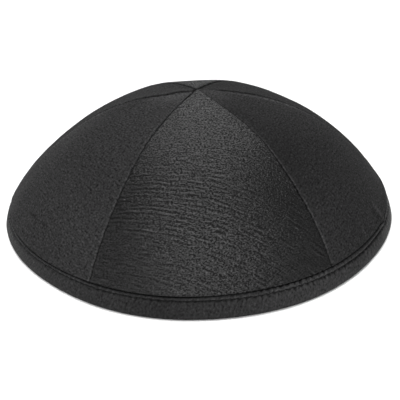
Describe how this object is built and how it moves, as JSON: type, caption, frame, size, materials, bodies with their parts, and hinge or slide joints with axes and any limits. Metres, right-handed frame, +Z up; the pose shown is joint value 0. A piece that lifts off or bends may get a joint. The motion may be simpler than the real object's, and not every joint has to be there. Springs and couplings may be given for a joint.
{
  "type": "kippah, six-panel cloth skullcap",
  "caption": "Low domed cloth skullcap of wedge-shaped panels meeting at the crown, with a folded and topstitched binding round its rim.",
  "frame": {"origin": "middle of the cap's outline from above, on the surface that the rim rests on", "axes": "+Z up through the crown; -Y towards the front panel; +X to the front panel's right as seen from the front"},
  "size_m": [0.1694, 0.1702, 0.0528],
  "materials": {
    "cloth": "matt black cotton satin with a low sheen",
    "binding_cloth": "the same black cloth, folded and topstitched"
  },
  "bodies": {
    "root": {"gore_front": "cloth", "gore_right_front": "cloth", "gore_right_back": "cloth", "gore_back": "cloth", "gore_left_back": "cloth", "gore_left_front": "cloth", "binding": "binding_cloth"}
  },
  "joints": []
}
